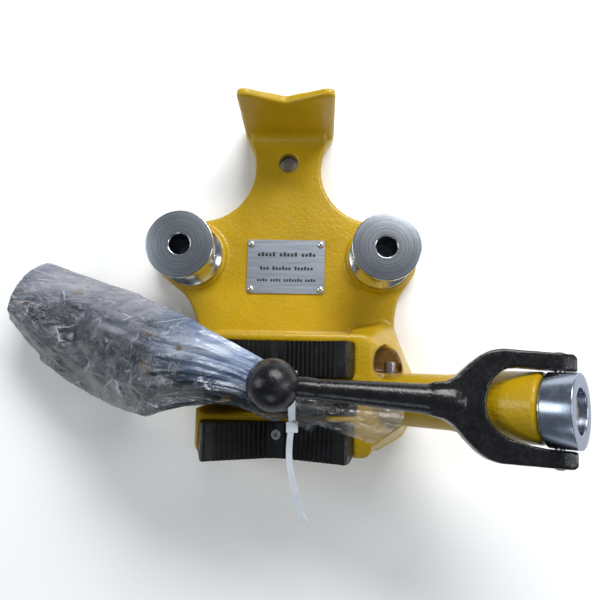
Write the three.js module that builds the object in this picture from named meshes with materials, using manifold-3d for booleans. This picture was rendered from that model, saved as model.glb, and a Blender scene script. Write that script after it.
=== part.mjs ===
// Bench chain vise with two pipe-bending rollers, millimetres, +Z up.
// Origin: underside of the base, on the centreline, under the middle of the chain slot.
// +X points to the horn that carries the screw and handle, +Y points to the pipe rest.
import * as THREE from "three";
import { ConvexGeometry } from "three/addons/geometries/ConvexGeometry.js";
import { mergeVertices } from "three/addons/utils/BufferGeometryUtils.js";
import Module from "manifold-3d";

// ---- driving dimensions -------------------------------------------------------------------
const BASE_T = 14; // base plate thickness
const HOUSING_TOP = 82; // flat top of the jaw housing
const POCKET_Z = 66; // floor of the two jaw pockets
const SLOT_HALF = 12.6; // half width of the chain slot
const REST_Y = 236; // front face of the pipe rest
const NECK_HOLE = { y: 210.9, r: 8.9 };
const ROLLER = { x: 84, y: 121.5, r: 27.9, z0: 19.3, z1: 67, bore: 8.2, spigot: 12, waist: 17.5 };
const BOSS_R = 30.3;
const BOSS_TOP = 19;
const JAW = { v: 84, tip: 109.8, tipX: 49.1, endX: 57.3, in: 17.2, out: 43.1, z0: 66.3 };
const TOOTH = { pitch: 3.35, deep: 1.3 };
const JAW_SCREW_Y = 26;
const TILT = THREE.MathUtils.degToRad(37.5); // screw axis above the horizontal
const NUT_END = new THREE.Vector3(193.8, 0, 151.9); // centre of the nut's outer face
const NUT = { r: 23.9, len: 19, cbore: 14.6, cdeep: 7, bore: 12.3 };
const HORN = { from: 20.9, to: 165 }; // measured down the axis from the nut's face
// [distance down the axis, outer radius] of the horn, which swells towards the nut
const HORN_RADII = [[165, 19.7], [86, 19.8], [74, 21.2], [64, 22.4], [54, 23.1], [44, 23.5], [22.4, 23.6]];
const SCREW = { r: 11.9, from: 3.2, to: 160, eye: 177 };
const TRUNNION = 13; // trunnion axis, down from the nut's face
const PIN_X = 86; // guide pin that runs in the screw's keyway
const BALL = { r: 17, x: 1.3, y: 11.6, z: 144.1 };
const PLATE = { y: 113.5, w: 69.4, h: 48.6, t: 1.0 };
const LINK = { pitch: 26, high: 9.5, bar: 3.4, gap: 1.2, plate: 2.6, pin: 3.6, pinHalf: 11 };
const FILM = 0.8; // modelled film thickness of the bag
const TIE = { x: 13, y: 3, z: 104.5, r: 16.9, w: 4.8, t: 1.4 };

// ---- materials ----------------------------------------------------------------------------
const paint = (color, roughness, metalness) =>
  new THREE.MeshStandardMaterial({ color, roughness, metalness });
const YELLOW = paint("#e0ab10", 0.45, 0);
const ZINC = paint("#9aa0a8", 0.3, 1);
const BLACK_OXIDE = paint("#17171a", 0.5, 0.6);
const BLACK_ENAMEL = paint("#0d0d0f", 0.35, 0);
const PHENOLIC = paint("#08080a", 0.12, 0);
const ALUMINIUM = paint("#a9b0bd", 0.4, 0.9);
const OILED_STEEL = paint("#3a3632", 0.35, 0.9);
const STEEL = paint("#6d6a68", 0.4, 0.9);
const POLY_FILM = paint("#c9ced8", 0.2, 0);
POLY_FILM.transparent = true;
POLY_FILM.opacity = 0.35;
const NYLON = paint("#e4e9f0", 0.4, 0);

// ---- small helpers ------------------------------------------------------------------------
const wasm = await Module();
wasm.setup();
const V = (x, y, z) => new THREE.Vector3(x, y, z);

// A closed geometry as a boolean solid.
function solid(geometry) {
  const bare = geometry.clone();
  bare.deleteAttribute("normal");
  bare.deleteAttribute("uv");
  const g = mergeVertices(bare, 1e-4);
  const vertProperties = new Float32Array(g.attributes.position.array);
  const triVerts = new Uint32Array(g.index.array);
  return new wasm.Manifold(new wasm.Mesh({ numProp: 3, vertProperties, triVerts }));
}

// A boolean solid back as a geometry.
function shell(body) {
  const m = body.getMesh();
  const g = new THREE.BufferGeometry();
  g.setAttribute("position", new THREE.BufferAttribute(new Float32Array(m.vertProperties), 3));
  g.setIndex(new THREE.BufferAttribute(new Uint32Array(m.triVerts), 1));
  g.computeVertexNormals();
  return g;
}

const outline = (pts) => new THREE.Shape(pts.map(([a, b]) => new THREE.Vector2(a, b)));
const box = (x0, x1, y0, y1, z0, z1) =>
  new THREE.BoxGeometry(x1 - x0, y1 - y0, z1 - z0)
    .translate((x0 + x1) / 2, (y0 + y1) / 2, (z0 + z1) / 2);

// Prism over a flat outline (x, y), from z0 to z1.
function prismZ(shape, z0, z1, curveSegments = 12) {
  return new THREE.ExtrudeGeometry(shape, { depth: z1 - z0, bevelEnabled: false, curveSegments })
    .translate(0, 0, z0);
}

// Prism over an outline (x, z), from y0 to y1.
function prismY(shape, y0, y1) {
  return new THREE.ExtrudeGeometry(shape, { depth: y1 - y0, bevelEnabled: false })
    .rotateX(Math.PI / 2)
    .translate(0, y1, 0);
}

// Prism over an outline (y, z), from x0 to x1.
function prismX(shape, x0, x1) {
  const turn = new THREE.Matrix4().makeBasis(V(0, 1, 0), V(0, 0, 1), V(1, 0, 0));
  return new THREE.ExtrudeGeometry(shape, { depth: x1 - x0, bevelEnabled: false })
    .applyMatrix4(turn)
    .translate(x0, 0, 0);
}

// Turned piece about +Z from a profile of [radius, z] that starts and ends on the axis.
function turned(profile, segments = 48) {
  const pts = profile.map(([r, z]) => new THREE.Vector2(r, z));
  return new THREE.LatheGeometry(pts, segments).rotateX(Math.PI / 2);
}

// Ring about +Z from a closed profile of [radius, z].
function ring(profile, segments = 48) {
  return turned([...profile, profile[0]], segments);
}

const rod = (r, z0, z1, segments = 32) =>
  turned([[0, z0], [r, z0], [r, z1], [0, z1]], segments);

// Frame whose z axis is dir and whose y axis is as near side as it can be.
function frameOf(origin, dir, side) {
  const z = dir.clone().normalize();
  const x = side.clone().cross(z).normalize();
  const y = z.clone().cross(x);
  return new THREE.Matrix4().makeBasis(x, y, z).setPosition(origin);
}

const group = new THREE.Group();
function add(name, body, material) {
  const mesh = new THREE.Mesh(body.isBufferGeometry ? body : shell(body), material);
  mesh.name = name;
  group.add(mesh);
  return mesh;
}

// ---- screw axis ---------------------------------------------------------------------------
const AXIS = V(Math.cos(TILT), 0, Math.sin(TILT));
const down = (s) => NUT_END.clone().addScaledVector(AXIS, -s);
// A piece turned about the screw axis: its z runs up the axis from the point s down from the face.
const alongScrew = (s) => frameOf(down(s), AXIS, V(0, 1, 0));

// ---- the casting --------------------------------------------------------------------------
function baseOutline() {
  const right = [
    [108.6, 98.5], [102, 88.5], [98.4, 76.5], [97.2, 63.3], [98.7, 48.7], [103, 39.4],
    [111, 25], [115.5, 12],
  ];
  const left = [
    [-69.5, -30], [-70, 5], [-72.5, 32], [-76.5, 53], [-80.8, 69], [-86, 80.5], [-93, 89],
    [-103, 96.5], [-112.47, 104.04],
  ];
  const s = new THREE.Shape();
  s.moveTo(41.5, 251);
  s.lineTo(41.2, 237);
  s.absarc(80, 205, 50, 2.61, -Math.PI / 2 - 0.06, false); // neck flank, right
  s.absarc(ROLLER.x, ROLLER.y, 33.4, Math.PI / 2, -0.38, true); // shoulder round the roller
  s.splineThru(right.map(([x, y]) => new THREE.Vector2(x, y)));
  s.lineTo(115.5, -12);
  s.lineTo(104, -33);
  s.lineTo(84, -45);
  s.lineTo(60, -50);
  s.lineTo(-60, -50);
  s.splineThru(left.map(([x, y]) => new THREE.Vector2(x, y)));
  s.absarc(-ROLLER.x, ROLLER.y, 33.4, Math.PI + 0.5, Math.PI / 2, true);
  s.absarc(-80, 205, 50, -Math.PI / 2 + 0.06, Math.PI - 2.61, false);
  s.lineTo(-40, 237);
  s.lineTo(-40.3, 251);
  return s;
}

// Block with a rounded plan, drafted from its foot to its top.
function draftedBlock(foot, top, z0, z1, r) {
  const pts = [];
  const loop = ([x0, x1, y0, y1], z, rr) => {
    for (const [cx, cy, a0] of [
      [x1 - rr, y1 - rr, 0], [x0 + rr, y1 - rr, 90], [x0 + rr, y0 + rr, 180], [x1 - rr, y0 + rr, 270],
    ]) {
      for (let i = 0; i <= 4; i += 1) {
        const a = THREE.MathUtils.degToRad(a0 + i * 22.5);
        pts.push(V(cx + rr * Math.cos(a), cy + rr * Math.sin(a), z));
      }
    }
  };
  loop(foot, z0, r + 1);
  loop(top, z1 - 1.6, r);
  loop([top[0] + 1.6, top[1] - 1.6, top[2] + 1.6, top[3] - 1.6], z1, r - 1.6);
  return new ConvexGeometry(pts);
}

function restSolid() {
  const vee = outline([
    [-40, 10], [41.5, 10], [40.8, 88], [39.4, 91.4], [35.9, 93], [31.9, 92.6], [3.2, 78.8], [0.7, 78],
    [-1.8, 78.8], [-29.3, 92.6], [-33.3, 93], [-36.8, 91.4], [-38.2, 88],
  ]);
  const back = outline([[242, 110], [243.5, 70], [248, 30], [251.5, 13], [270, 13], [270, 110]]);
  const foot = outline([[237, 12], [237, 25], [234.6, 19.6], [231.4, 16.2], [225.5, 13.2], [225.5, 12]]);
  return solid(prismY(vee, REST_Y, 252))
    .subtract(solid(prismX(back, -60, 60)))
    .add(solid(prismX(foot, -33, 33)));
}

function hornSolid() {
  const side = HORN_RADII.map(([s, r]) => [r, HORN.to - s]);
  const end = HORN.to - HORN.from;
  const horn = turned([[0, 0], ...side, [HORN_RADII.at(-1)[1] - 1.5, end], [0, end]], 36);
  horn.applyMatrix4(alongScrew(HORN.to));
  // the rough casting leans a little to the rear of the machined bore
  const lean = new THREE.Matrix4().set(1, 0, 0, 0, -0.01, 1, 0, 0.01 * NUT_END.x + 0.42, 0, 0, 1, 0, 0, 0, 0, 1);
  horn.applyMatrix4(lean);
  const web = new ConvexGeometry([
    V(60, 11, 10), V(60, -11, 10), V(114, 11, 10), V(114, -11, 10),
    V(142, 7, 104), V(142, -7, 104), V(80, 11, 66), V(80, -11, 66),
  ]);
  return solid(horn).add(solid(web));
}

function gussets() {
  const rear = new ConvexGeometry([
    V(55, 18, 81.4), V(55, 47, 81.4), V(68, 47, 81.4), V(72, 42, 81), V(80, 36, 79), V(92, 30, 75),
    V(97, 18, 76), V(60, 60, 12), V(88, 66, 12), V(96.4, 62, 12), V(98, 48, 12), V(102.4, 38.8, 12),
    V(110.4, 25, 12), V(113, 12, 12), V(55, 12, 12), V(99, 12, 76),
  ]);
  const front = new ConvexGeometry([
    V(50, -42.6, 81.4), V(59, -42.6, 81.4), V(70, -34, 81), V(93, -19.5, 77), V(93, -12, 78),
    V(50, -12, 81.4), V(50, -46, 12), V(62, -48.5, 12), V(83, -44, 12), V(103, -32, 12),
    V(114, -12, 12), V(50, -12, 12),
  ]);
  return solid(rear).add(solid(front));
}

function viseBody() {
  const base = new THREE.ExtrudeGeometry(baseOutline(), {
    depth: BASE_T - 3.2, bevelEnabled: true, bevelThickness: 1.6, bevelSize: 1.6,
    bevelOffset: -1.6, bevelSegments: 1, curveSegments: 6,
  }).translate(0, 0, 1.6);
  let body = solid(base);
  for (const side of [-1, 1]) {
    const boss = turned([[0, 8], [BOSS_R + 1, 8], [BOSS_R, BOSS_TOP - 1.2],
      [BOSS_R - 1.2, BOSS_TOP], [0, BOSS_TOP]], 36);
    body = body.add(solid(boss.translate(side * ROLLER.x, ROLLER.y, 0)));
  }
  body = body.add(restSolid());
  body = body.add(solid(draftedBlock([-67, 75, -46, 53], [-61.6, 72, -42.6, 50], 12, HOUSING_TOP, 8)));
  body = body.add(gussets()).add(hornSolid());

  const cut = (g) => {
    body = body.subtract(solid(g));
  };
  // jaw pockets; the front one is open to the front
  cut(box(-57.6, 57.6, JAW.in - 0.3, JAW.out + 0.3, POCKET_Z, 120));
  cut(box(-57.6, 57.6, -70, -JAW.in + 0.3, POCKET_Z, 120));
  // chain slot, wider room for the screw's eye below, and the narrow hook slot on the left
  cut(box(-57.6, 60, -SLOT_HALF, SLOT_HALF, 18, 120));
  cut(box(59, 72, -SLOT_HALF, SLOT_HALF, 18, 58));
  cut(box(-80, -50, -7.7, 7.7, 30, 120));
  // cored rooms either side of the slot, open underneath
  cut(box(-54, 62, 21, 41, -5, 55));
  cut(box(-54, 50, -36, -21, -5, 55));
  // bore for the screw and cross bore for its guide pin
  cut(rod(12.5, 0, 170, 28).applyMatrix4(alongScrew(168)));
  const pinZ = NUT_END.z - (NUT_END.x - PIN_X) * Math.tan(TILT);
  cut(rod(4.7, 5, 70, 24).rotateX(-Math.PI / 2).translate(PIN_X, 0, pinZ));
  // niche that leaves the end of the guide pin bare
  cut(rod(11, 60, 120, 24).translate(84, 31.5, 0));
  cut(box(73, 95, 21.2, 31.5, 60, 120));
  // roller bores with a room for the circlips underneath
  for (const side of [-1, 1]) {
    cut(rod(ROLLER.spigot + 0.3, -5, 30, 36).translate(side * ROLLER.x, ROLLER.y, 0));
    cut(rod(17, -5, 6.4, 28).translate(side * ROLLER.x, ROLLER.y, 0));
  }
  cut(rod(NECK_HOLE.r, -5, 20, 28).translate(0, NECK_HOLE.y, 0));
  for (const sy of [-1, 1]) {
    cut(rod(3.3, 50, 80, 12).translate(0, sy * JAW_SCREW_Y, 0));
    for (const sx of [-1, 1]) {
      cut(rod(1.6, 7.5, 20, 8).translate(sx * 31.2, PLATE.y + sy * 20.4, 0));
    }
  }
  return body;
}

// ---- jaws ---------------------------------------------------------------------------------
function jaw(sign) {
  const slope = (JAW.tip - JAW.v) / JAW.tipX;
  const half = [];
  for (let x = 5.2; x + TOOTH.pitch <= JAW.tipX - 1; x += TOOTH.pitch) {
    half.push([x, JAW.v + x * slope]);
    half.push([x + TOOTH.pitch * 0.45, JAW.v + (x + TOOTH.pitch * 0.45) * slope - TOOTH.deep]);
  }
  half.push([JAW.tipX - 1.2, JAW.tip - 0.6], [JAW.tipX + 0.6, JAW.tip]);
  half.push([JAW.tipX + 2.6, JAW.tip - 3.5], [JAW.endX, 86], [JAW.endX, JAW.z0]);
  const pts = [[0, JAW.v + 1], ...half, ...half.map(([x, z]) => [-x, z]).reverse()];
  const y0 = sign > 0 ? JAW.in : -JAW.out;
  let body = solid(prismY(outline(pts.reverse()), y0, y0 + JAW.out - JAW.in));
  const out = sign * JAW.out;
  const plan = outline([
    [-60, sign * 10], [60, sign * 10], [60, out - sign * 6], [53, out + sign * 1], [-53, out + sign * 1],
    [-60, out - sign * 6],
  ]);
  body = body.intersect(solid(prismZ(plan, 60, 120)));
  body = body.subtract(solid(rod(4.5, 80.4, 120, 16).translate(0, sign * JAW_SCREW_Y, 0)));
  return body.subtract(solid(rod(3.4, 60, 90, 12).translate(0, sign * JAW_SCREW_Y, 0)));
}

function jawScrew(sign) {
  const head = turned([[0, 56], [3, 56], [3, 80.7], [4.1, 80.7], [4.1, 85.4], [3.5, 86], [0, 86]], 16);
  const socket = new THREE.CylinderGeometry(1.9, 1.9, 5, 6).rotateX(Math.PI / 2).translate(0, 0, 86.2);
  return solid(head).subtract(solid(socket)).translate([0, sign * JAW_SCREW_Y, 0]);
}

// ---- bending rollers ----------------------------------------------------------------------
function roller(side) {
  const { r, z0, z1, bore, spigot, waist } = ROLLER;
  // U groove for the pipe, as an arc in the profile
  const mid = (z0 + z1) / 2;
  const groove = [];
  for (let i = 0; i <= 8; i += 1) {
    const a = -1 + i / 4;
    const half = 18.2;
    const deep = r - 0.4 - waist;
    const R = (half * half + deep * deep) / (2 * deep);
    groove.push([waist + R - Math.sqrt(R * R - (a * half) ** 2), mid + a * half]);
  }
  const body = ring([
    [bore, 2.2], [spigot, 2.2], [spigot, 4.4], [spigot - 1.2, 4.4], [spigot - 1.2, 6.1],
    [spigot, 6.1], [spigot, z0], [r, z0], [r, z0 + 4.7], ...groove, [r, z1 - 0.8], [r - 0.8, z1],
    [bore + 1.3, z1], [bore, z1 - 1.3],
  ], 32);
  return solid(body).translate([side * ROLLER.x, ROLLER.y, 0]);
}

function circlip(side) {
  const clip = ring([[11.1, 4.7], [14.6, 4.7], [14.6, 5.8], [11.1, 5.8]], 24);
  return solid(clip)
    .subtract(solid(box(-3.2, 3.2, -20, -5, 0, 10)))
    .translate([side * ROLLER.x, ROLLER.y, 0]);
}

// ---- screw, nut and guide pin -------------------------------------------------------------
function chainScrew() {
  const len = SCREW.to - SCREW.from;
  const profile = [[0, 0], [10.6, 0], [SCREW.r, 1.3], [SCREW.r, len - 12]];
  for (let k = 0; k < 2; k += 1) {
    const z = len - 11 + k * 5;
    profile.push([SCREW.r, z], [SCREW.r - 2.2, z + 1.4], [SCREW.r - 2.2, z + 2.6], [SCREW.r, z + 4]);
  }
  profile.push([SCREW.r, len - 3.4], [10.6, len - 1.5], [7, len - 0.4], [0, len]);
  let body = solid(turned(profile, 28));
  // keyway on the rear side for the guide pin
  body = body.subtract(solid(box(-4.8, 4.8, 6.9, 14, 2, 66)));
  // flat eye at the lower end
  const eye = new THREE.CylinderGeometry(9.8, 9.8, 7, 28).translate(0, 0, 0);
  const eyeZ = SCREW.to - SCREW.eye;
  const blade = box(-9.8, 9.8, -3.5, 3.5, eyeZ, 6);
  body = body.add(solid(eye.translate(0, 0, eyeZ))).add(solid(blade));
  body = body.subtract(solid(new THREE.CylinderGeometry(4.1, 4.1, 20, 20).translate(0, 0, eyeZ)));
  return solid(shell(body).applyMatrix4(alongScrew(SCREW.to)));
}

// Direction of the folded handle, the trunnion axis across it, and the nut's own frame.
const PIVOT = down(TRUNNION);
const HANDLE_DIR = V(BALL.x, BALL.y, BALL.z).sub(PIVOT).normalize();
const ACROSS = HANDLE_DIR.clone().cross(AXIS).normalize();
const HANDLE_LEN = V(BALL.x, BALL.y, BALL.z).distanceTo(PIVOT);

function nutCollar() {
  const { r, len, cbore, cdeep, bore } = NUT;
  const body = ring([
    [bore, 0], [r - 1, 0], [r, 1], [r, len - 1], [r - 1, len], [cbore + 1, len],
    [cbore, len - 1], [cbore, len - cdeep], [bore, len - cdeep],
  ], 40);
  const hole = new THREE.CylinderGeometry(3.4, 3.4, 60, 16).translate(0, 0, len - TRUNNION);
  const keep = rod(16.2, -5, 40, 40);
  const holes = solid(hole).subtract(solid(keep));
  return solid(shell(solid(body).subtract(holes)).applyMatrix4(frameOf(down(len), AXIS, ACROSS)));
}

function thrustWasher() {
  const washer = ring([[12.6, 0], [21.6, 0], [21.6, 1.2], [12.6, 1.2]], 32);
  return solid(washer.applyMatrix4(alongScrew(NUT.len + 1.55)));
}

function guidePin() {
  const pinZ = NUT_END.z - (NUT_END.x - PIN_X) * Math.tan(TILT);
  const pin = turned([[0, 7.5], [4.35, 7.5], [4.35, 28.8], [3.7, 29.5], [0, 29.5]], 24);
  return pin.rotateX(-Math.PI / 2).translate(PIN_X, 0, pinZ);
}

// ---- handle -------------------------------------------------------------------------------
// Handle frame: x from the trunnion to the ball, y across the fork, z up.
function handleFrame() {
  const x = HANDLE_DIR.clone();
  const y = ACROSS.clone().negate();
  return new THREE.Matrix4().makeBasis(x, y, x.clone().cross(y)).setPosition(PIVOT);
}

function handleSolid() {
  const outer = [[-7, 35.7], [38, 35.7], [45, 34], [51, 30.5], [57, 25.3], [62.5, 19.6], [67, 15],
    [73, 11.8], [82, 10.4]];
  const inner = [[-9.6, 24.5], [26, 24.5], [33, 23.6], [39, 20.4], [43.4, 15.6], [46, 9.5], [47, 3]];
  // the front arm thickens towards the bow, so its inner edge comes in sooner
  const innerFront = [[-9.6, 24.5], [9, 24.4], [18, 23.3], [26, 21.7], [33, 19.8], [39, 16.8], [43.4, 12.8],
    [46, 8.2], [47, 3]];
  const mirror = (list) => list.map(([x, y]) => [x, -y]).reverse();
  const pts = [[-9.6, 33.4], ...outer, ...mirror(outer), [-9.6, -33.4], ...mirror(inner).reverse(),
    ...[...innerFront].reverse()];
  const fork = solid(prismZ(outline(pts), -8.5, 8.5));
  const side = outline([
    [-11.4, -3.2], [-9, -5.6], [0, -6.8], [20, -5.9], [60, -5.6], [90, -8.4], [90, 8.4], [60, 6.2],
    [20, 6.4], [0, 6.8], [-9, 5.6], [-11.4, 3.2],
  ]);
  let body = fork.intersect(solid(prismY(side, -50, 50)));
  const bar = turned([
    [0, 0], [8.2, 0], [9.9, 6], [10.2, 14], [9.2, 34], [7.9, 66], [6.6, 96], [6.2, 103.4], [5.4, 104.2],
    [5, 104.2], [5, 113.2], [4.3, 114], [0, 114],
  ], 24);
  bar.rotateY(Math.PI / 2).translate(HANDLE_LEN - 121, 0, 0).scale(1, 1, 0.9);
  body = body.add(solid(bar));
  const hole = new THREE.CylinderGeometry(3.4, 3.4, 90, 16);
  body = body.subtract(solid(hole));
  return solid(shell(body).applyMatrix4(handleFrame()));
}

function ballKnob() {
  const pts = [[0, -13.2], [5.3, -13.2]];
  // the flat at the neck, then the sphere, then the blind hole for the stud
  const ball = [[5.4, -15.9]];
  for (let a = -69; a <= 90; a += 13.25) {
    const t = THREE.MathUtils.degToRad(a);
    ball.push([BALL.r * Math.cos(t), BALL.r * Math.sin(t)]);
  }
  ball.push([0, BALL.r], [0, -6.4], [5.4, -6.4]);
  pts.length = 0;
  const profile = [...ball.slice(-2), ...ball.slice(0, -2)];
  const g = turned(profile, 28).rotateY(Math.PI / 2).translate(HANDLE_LEN, 0, 0);
  return solid(g.applyMatrix4(handleFrame()));
}

function trunnionPin(side) {
  const pin = turned([[0, 16.8], [3.05, 16.8], [3.05, 36], [2.6, 36.6], [0, 36.9]], 14);
  pin.rotateX(side > 0 ? -Math.PI / 2 : Math.PI / 2);
  return solid(pin.applyMatrix4(handleFrame()));
}

// ---- nameplate ----------------------------------------------------------------------------
function nameplate() {
  const s = new THREE.Shape();
  const { w, h } = PLATE;
  const r = 2.2;
  s.absarc(w / 2 - r, h / 2 - r, r, 0, Math.PI / 2);
  s.absarc(-w / 2 + r, h / 2 - r, r, Math.PI / 2, Math.PI);
  s.absarc(-w / 2 + r, -h / 2 + r, r, Math.PI, Math.PI * 1.5);
  s.absarc(w / 2 - r, -h / 2 + r, r, Math.PI * 1.5, Math.PI * 2);
  for (const sx of [-1, 1]) {
    for (const sy of [-1, 1]) {
      const hole = new THREE.Path();
      hole.absarc(sx * 31.2, sy * 20.4, 1.6, 0, Math.PI * 2, true);
      s.holes.push(hole);
    }
  }
  return prismZ(s, BASE_T + 0.3, BASE_T + 0.3 + PLATE.t, 4).translate(0, PLATE.y, 0);
}

function rivet(sx, sy) {
  const z = BASE_T + 0.3 + PLATE.t + 0.3;
  const g = turned([
    [0, 8.2], [1.25, 8.2], [1.25, z], [3, z], [2.7, z + 0.9], [1.6, z + 1.6], [0, z + 1.9],
  ], 10);
  return g.translate(sx * 31.2, PLATE.y + sy * 20.4, 0);
}

// ---- chain --------------------------------------------------------------------------------
// The chain climbs from the screw's eye, leaves the slot, passes through the tied neck of the bag,
// runs over the left jaw tips, down to the bench, and doubles back on itself.
const CHAIN_PATH = [
  [0, 0, 0, 0], [46, 0.3, 69, 0], [36, 1, 90, 1], [14, 3, 104.5, 3.5], [-11, 6.3, 112.5, 6.5],
  [-36, 12, 122, 9], [-58, 18, 125, 12], [-82, 26, 114, 14.5], [-103, 34, 94, 16],
  [-124, 42, 68, 16.5], [-147, 49.5, 40, 17], [-172, 57, 20, 17], [-197, 64.5, 14.5, 16.5],
  [-219, 71, 20, 15.5], [-223, 72, 34, 14], [-208, 69, 45.5, 11.5], [-182, 64.8, 48, 8],
  [-162, 62.2, 58, 6.5], [-146, 61, 68, 6],
];

function chainPins() {
  const eye = down(SCREW.eye);
  const points = CHAIN_PATH.map(([x, y, z]) => V(x, y, z));
  points[0].copy(eye);
  const curve = new THREE.CatmullRomCurve3(points, false, "centripetal");
  const N = 2400;
  const pins = [{ at: eye, k: 0 }];
  for (let i = 1; i <= N; i += 1) {
    const p = curve.getPoint(i / N);
    const last = pins[pins.length - 1].at;
    if (p.distanceTo(last) >= LINK.pitch) pins.push({ at: p, k: i / N });
  }
  // yaw of the pin axis along the path
  for (const pin of pins) {
    const f = pin.k * (CHAIN_PATH.length - 1);
    const i = Math.min(Math.floor(f), CHAIN_PATH.length - 2);
    const yaw = THREE.MathUtils.lerp(CHAIN_PATH[i][3], CHAIN_PATH[i + 1][3], f - i);
    pin.yaw = THREE.MathUtils.degToRad(yaw);
  }
  return pins;
}

function linkPlate(y0, y1, high) {
  const s = new THREE.Shape();
  s.absarc(LINK.pitch, 0, high, -Math.PI * 0.42, Math.PI * 0.42, false);
  s.lineTo(LINK.pitch / 2 + 2, high * 0.78);
  s.lineTo(LINK.pitch / 2 - 2, high * 0.78);
  s.absarc(0, 0, high, Math.PI * 0.58, Math.PI * 1.42, false);
  s.lineTo(LINK.pitch / 2 - 2, -high * 0.78);
  s.lineTo(LINK.pitch / 2 + 2, -high * 0.78);
  return new THREE.ExtrudeGeometry(s, { depth: y1 - y0, bevelEnabled: false, curveSegments: 3 })
    .rotateX(Math.PI / 2)
    .translate(0, y1, 0);
}

const crossRod = (r, half, x, seg = 8) =>
  new THREE.CylinderGeometry(r, r, half * 2, seg).translate(x, 0, 0);

function chainLink(i, pins) {
  const a = pins[i];
  const b = pins[i + 1];
  const outerLink = i % 2 === 0;
  const { bar, gap, plate, pin, pinHalf, high, pitch } = LINK;
  let body;
  if (outerLink) {
    const y = bar + gap;
    body = solid(linkPlate(y, y + plate, high)).add(solid(linkPlate(-y - plate, -y, high)));
    body = body.add(solid(crossRod(pin, pinHalf, 0))).add(solid(crossRod(pin, pinHalf, pitch)));
  } else {
    // one thick leaf between the two plates of its neighbours
    body = solid(linkPlate(-bar, bar, high));
    for (const x of [0, pitch]) body = body.subtract(solid(crossRod(pin + 0.7, 20, x)));
  }
  const x = b.at.clone().sub(a.at).normalize();
  const yaw = (a.yaw + b.yaw) / 2;
  // the pin axis stays level; its yaw follows the run of the chain
  const level = V(Math.sin(yaw), Math.cos(yaw), 0);
  const y = level.sub(x.clone().multiplyScalar(level.dot(x))).normalize();
  const m = new THREE.Matrix4().makeBasis(x, y, x.clone().cross(y)).setPosition(a.at);
  return solid(shell(body).applyMatrix4(m));
}

// ---- packing bag and cable tie ------------------------------------------------------------
// Stations of the bag: centre x, y, z, half width, rise of the top, drop of the bottom, yaw.
const BAG = [
  [-238, 82, 22, 12, 9, 16, 24], [-231, 80, 24, 30, 21, 21.5, 24], [-214, 76, 26, 41, 34, 24.5, 22],
  [-190, 66, 27, 49, 38, 25.5, 20], [-163, 56, 30, 52, 46, 28, 19], [-138, 48, 46, 50, 46, 38, 18.5],
  [-114, 41, 76, 46, 32, 44, 18], [-92, 33, 100, 41, 29, 36, 17], [-72, 27, 113, 36, 23, 24, 15],
  [-50, 20, 124.6, 31, 15.5, 11.8, 12], [-32, 14, 121.6, 24, 14.2, 11.6, 10], [-14, 8, 113.5, 17.5, 13, 13, 8],
  [0, 4.5, 108, 15.9, 14.6, 15, 4], [13, 3, 104.5, 15.9, 15.9, 15.9, 2],
];

function bagRing(station, steps, wall, i) {
  const [cx, cy, cz, half, rise, drop, yawDeg] = station;
  const yaw = THREE.MathUtils.degToRad(yawDeg);
  const side = V(Math.sin(yaw), Math.cos(yaw), 0);
  const pts = [];
  for (let k = 0; k < steps; k += 1) {
    const a = (k / steps) * Math.PI * 2;
    const c = Math.cos(a);
    const s = Math.sin(a);
    const pinch = Math.min(1, Math.max(0, (half - 17) / 20));
    // creases run from the neck to the far end, so the crumple depends mostly on the angle
    const crumple = pinch * (0.035 * Math.sin(5 * a + 0.6) + 0.03 * Math.sin(9 * a + 0.5 * i)
      + 0.02 * Math.sin(13 * a - 0.9 * i));
    const e = 2 + 0.4 * pinch; // round at the neck, fuller in the body
    const sq = 1 / Math.pow(Math.abs(c) ** e + Math.abs(s) ** e, 1 / e);
    const w = (half * (1 - 0.055 * pinch + crumple) - wall) * c * sq;
    const up = s > 0 ? rise : drop;
    const h = (up * (1 - (s > 0 ? 0.06 : 0) * pinch + (s > 0 ? crumple : 0)) - wall) * s * sq;
    pts.push(V(cx, cy, cz + h).addScaledVector(side, w));
  }
  return pts;
}

// Open skirt beyond the tie: the lower half stays short and round, the upper front half flares.
function skirtRing(t, steps, wall) {
  const pts = [];
  for (let k = 0; k < steps; k += 1) {
    const a = (k / steps) * Math.PI * 2;
    const c = Math.cos(a);
    const s = Math.sin(a);
    const upper = Math.max(0, s + 0.12) ** 0.7;
    const front = Math.max(0, -c);
    const reach = 8 + upper * (16 + 26 * front + 7 * Math.sin(3 * a + 1) + 4 * Math.sin(7 * a));
    const flare = upper * (5 + 15 * front + 2.5 * Math.sin(6 * a)) * t;
    const r = 15.9 - wall + flare;
    const lift = s > 0 ? 0.72 : 1;
    pts.push(V(13 + reach * t, 3 - 1.5 * t + r * c, 104.5 + r * s * lift + upper * front * 3.5 * t));
  }
  return pts;
}

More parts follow.
